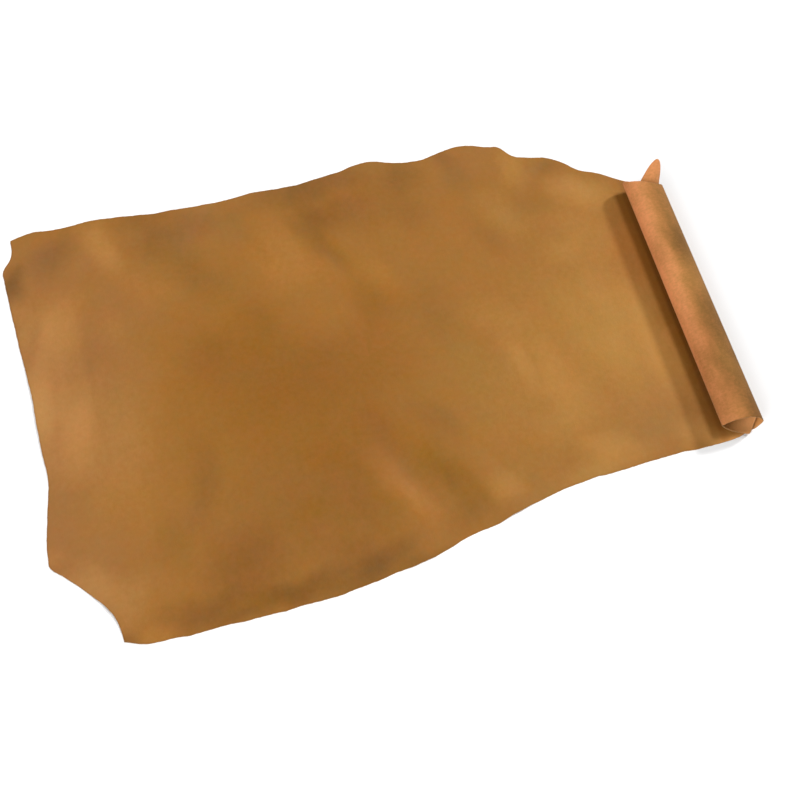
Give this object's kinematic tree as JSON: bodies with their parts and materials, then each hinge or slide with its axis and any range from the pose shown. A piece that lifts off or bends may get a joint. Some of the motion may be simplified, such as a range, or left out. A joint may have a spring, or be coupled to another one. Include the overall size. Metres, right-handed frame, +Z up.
{
  "type": "leather hide",
  "caption": "Tan leather hide with an irregular trimmed outline, laid grain side up with its end rolled back on itself, flesh side out.",
  "frame": {"origin": "middle of the bounding box on the surface that the hide lies on", "axes": "+X from the left end to the rolled end, +Y from the near edge to the far edge, +Z up from the surface"},
  "size_m": [1.8718, 1.2408, 0.0835],
  "materials": {
    "tan_leather": "dull, lightly waxed grain side with soft mottling, brushed nap on the flesh side"
  },
  "bodies": {
    "root": {"hide": "tan_leather"}
  },
  "joints": []
}
